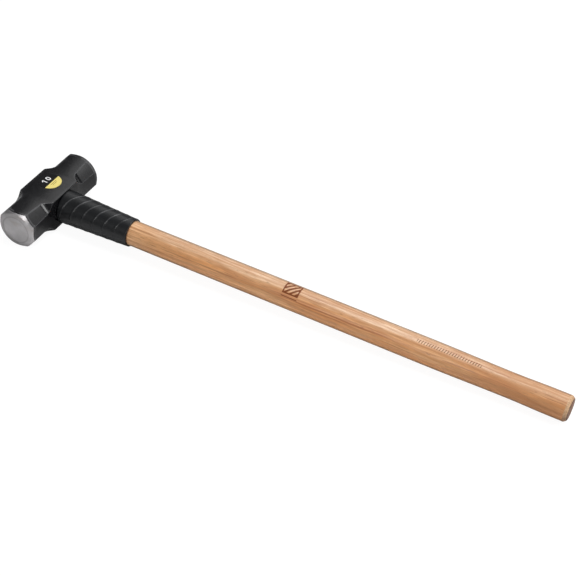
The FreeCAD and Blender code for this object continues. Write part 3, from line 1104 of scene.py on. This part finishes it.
def bare_edge():
    """Pale bevelled edge of the butt, where the varnish has been worn off, with painted shade on
    its lower side.
    """
    wood = Graph("hickory_bare_edge")
    fibres = wood.stretched_noise(120, 700, 3)
    pores = wood.remap(wood.stretched_noise(300, 2300, 1), 0.62, 0.72)
    pale = wood.blend(wood.remap(fibres, 0.3, 0.7), (0.55, 0.32, 0.17), (0.82, 0.54, 0.32))
    # Painted shade: the edge darkens towards the floor
    underside_shade = wood.remap(arc_from_top(wood), 20.0 * MM, 38.0 * MM, 0.0, 0.75)
    underside_shaded_edge = wood.blend(underside_shade, pale, (0.20, 0.10, 0.05))
    wood.set(
        Base_Color=wood.blend(wood.times(pores, 0.5), underside_shaded_edge, (0.20, 0.10, 0.05)),
        Roughness=0.6,
        Normal=wood.bump(fibres, 0.15 * MM, 0.4),
    )
    return wood.owner


def wedge_wood():
    """Dry unvarnished wedge wood with lengthwise fibres."""
    wood = Graph("wedge_wood")
    fibres = wood.stretched_noise(40, 900, 3)
    wood.set(
        Base_Color=wood.blend(wood.remap(fibres, 0.3, 0.7), (0.42, 0.25, 0.12), (0.62, 0.42, 0.23)),
        Roughness=0.7,
        Normal=wood.bump(fibres, 0.2 * MM, 0.4),
    )
    return wood.owner


def wedge_steel():
    """Brushed steel wedge with a few rusty specks."""
    steel = Graph("wedge_steel")
    brushing = steel.stretched_noise(60, 1800, 2)
    specks = steel.remap(steel.stretched_noise(260, 260, 3), 0.62, 0.75)
    steel.set(
        Base_Color=steel.blend(specks, (0.50, 0.50, 0.51), (0.20, 0.10, 0.06)),
        Metallic=steel.remap(specks, 0.0, 1.0, 1.0, 0.2),
        Roughness=steel.remap(brushing, 0.3, 0.7, 0.35, 0.5),
        Normal=steel.bump(brushing, 0.05 * MM, 0.4),
    )
    return steel.owner


def printed_paper(name, colour, sheen=0.5):
    """Printed paper label: slightly uneven ink under a satin varnish."""
    paper = Graph(name)
    mottle = paper.stretched_noise(700, 700, 3)
    faded = tuple(0.86 * channel for channel in colour)
    paper.set(
        Base_Color=paper.blend(paper.remap(mottle, 0.3, 0.7), faded, colour),
        Roughness=paper.remap(mottle, 0.3, 0.7, 0.38, 0.5),
        Specular_IOR_Level=sheen,
        Normal=paper.bump(mottle, 0.03 * MM, 0.3),
    )
    return paper.owner


def finish_cad_wedges():
    """The wedges show their CAD shapes, in their own materials."""
    for node, slot, material in (
        ("wood_wedge", "wedge_wood", wedge_wood()),
        ("steel_wedges", "wedge_steel", wedge_steel()),
    ):
        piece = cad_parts[node]
        piece.data.materials[0] = material


# -------- stage

def build_floor():
    """White floor that touches both striking ends and the butt, as the hammer really lies."""
    lying_slope = (FACE_RADIUS - BUTT_RADIUS) / (HANDLE_END - HEAD_X)
    reach = 4.0
    builder = bmesh.new()
    corners = []
    for x, y in ((-reach, -reach), (reach, -reach), (reach, reach), (-reach, reach)):
        corners.append(builder.verts.new((x, y, -FACE_RADIUS + (x - HEAD_X) * lying_slope)))
    builder.faces.new(corners)
    floor = add_piece("floor", builder)
    floor.data.materials.append(floor_white())


def floor_white():
    """White to the camera, with faint shadows, and a duller grey in the hammer's reflections."""
    white = Graph("floor_white")
    seen = white.add("ShaderNodeLightPath").outputs["Is Camera Ray"]
    # Painted shade and light, seen only in reflections: the floor darkens behind the hammer and
    # past the head's top face, and brightens down the handle
    backwards = white.remap(white.y, 30.0 * MM, 120.0 * MM, 0.66, 0.36)
    sideways = white.times(
        white.remap(white.x, -20.0 * MM, 5.0 * MM, 0.68, 1.0),
        white.remap(white.x, 180.0 * MM, 320.0 * MM, 1.0, 1.25),
    )
    brightness = white.times(backwards, sideways)
    mirrored = white.blend(brightness, (0.0, 0.0, 0.0), (1.0, 1.0, 1.0))
    white.set(
        Base_Color=white.blend(seen, mirrored, (0.15, 0.15, 0.15)),
        Roughness=0.9,
        Specular_IOR_Level=0.0,
        Emission_Color=(1.0, 1.0, 1.0),
        Emission_Strength=white.times(seen, 0.93),
    )
    return white.owner


# Area lights: name, place, what they aim at, width, depth and power in watts
SOFTBOXES = (
    ("back_wide", (0.34, 1.10, 1.50), (0.34, 0, 0.99), 2.42, 1.5, 12.7),
    ("back_bright", (0.55, 0.50, 1.95), HAMMER_MIDDLE, 1.3, 0.8, 21),
    ("back_right", (1.80, 1.45, 0.88), HEAD_MIDDLE, 0.9, 0.8, 1.7),
    ("front", (0.35, -1.70, 1.15), (HEAD_X, FACE_Y, 0), 0.9, 0.8, 9),
    ("right_edge", (2.40, 0.28, 1.48), HEAD_MIDDLE, 0.9, 0.7, 14),
)
SKY_COLOUR = (0.97, 0.98, 1.0)
SKY_SEEN = 0.95  # brightness of the background in the picture
SKY_BEHIND_CAMERA = 0.17  # and as a light, from behind the camera
SKY_BEYOND_HAMMER = 0.12


def softbox(name, place, aim, width, depth, power):
    light = bpy.data.lights.new(name, "AREA")
    light.shape = "RECTANGLE"
    light.size = width
    light.size_y = depth
    light.energy = power
    lamp = bpy.data.objects.new(name, light)
    lamp.location = place
    lamp.rotation_mode = "QUATERNION"
    lamp.rotation_quaternion = (Vector(aim) - Vector(place)).to_track_quat("-Z", "Y")
    bpy.context.scene.collection.objects.link(lamp)


def build_sky():
    """Even white to the camera, and a soft light that fades from front to back."""
    sky = Graph("studio", bpy.data.worlds, "Background", "Generated")
    fade = sky.add("ShaderNodeMapRange")
    sky.fill(
        fade, Value=sky.y, From_Min=-0.4, From_Max=0.5,
        To_Min=SKY_BEHIND_CAMERA, To_Max=SKY_BEYOND_HAMMER,
    )
    seen = sky.add("ShaderNodeMix")
    sky.feed(seen.inputs["Factor"], sky.add("ShaderNodeLightPath").outputs["Is Camera Ray"])
    sky.feed(seen.inputs[2], fade.outputs["Result"])
    sky.feed(seen.inputs[3], SKY_SEEN)
    sky.set(Strength=seen.outputs["Result"], Color=SKY_COLOUR)
    bpy.context.scene.world = sky.owner


# -------- camera

CAMERA_AZIMUTH = math.radians(25.82)
CAMERA_ELEVATION = math.radians(41.89)
CAMERA_ROLL = math.radians(3.98)
CAMERA_LENS = 90.34  # focal length in millimetres
CAMERA_SENSOR = 36  # width in millimetres
CAMERA_DISTANCE = 2.1653
CAMERA_SLIDE = Vector((6.5 * MM, 8.6 * MM))  # right and up, off the hammer's middle


def build_camera():
    """Camera that sees the hammer as the photo does."""
    level_right = Vector((math.cos(CAMERA_AZIMUTH), math.sin(CAMERA_AZIMUTH), 0))
    level_back = Vector((math.sin(CAMERA_AZIMUTH), -math.cos(CAMERA_AZIMUTH), 0))
    back = math.cos(CAMERA_ELEVATION) * level_back + math.sin(CAMERA_ELEVATION) * Vector((0, 0, 1))
    level_up = back.cross(level_right)
    right = math.cos(CAMERA_ROLL) * level_right + math.sin(CAMERA_ROLL) * level_up
    up = math.cos(CAMERA_ROLL) * level_up - math.sin(CAMERA_ROLL) * level_right
    data = bpy.data.cameras.new("camera")
    data.lens = CAMERA_LENS
    data.sensor_width = CAMERA_SENSOR
    camera = bpy.data.objects.new("camera", data)
    rotation = Matrix((right, up, back)).transposed().to_4x4()
    place = HAMMER_MIDDLE + back * CAMERA_DISTANCE + right * CAMERA_SLIDE.x + up * CAMERA_SLIDE.y
    camera.matrix_world = Matrix.Translation(place) @ rotation
    bpy.context.scene.collection.objects.link(camera)
    bpy.context.scene.camera = camera


build_head()
build_handle()
build_guard()
build_label()
finish_cad_wedges()
build_floor()
for box in SOFTBOXES:
    softbox(*box)
build_sky()
build_camera()
bpy.context.scene.view_settings.view_transform = "Standard"
bpy.context.scene.view_settings.look = "None"
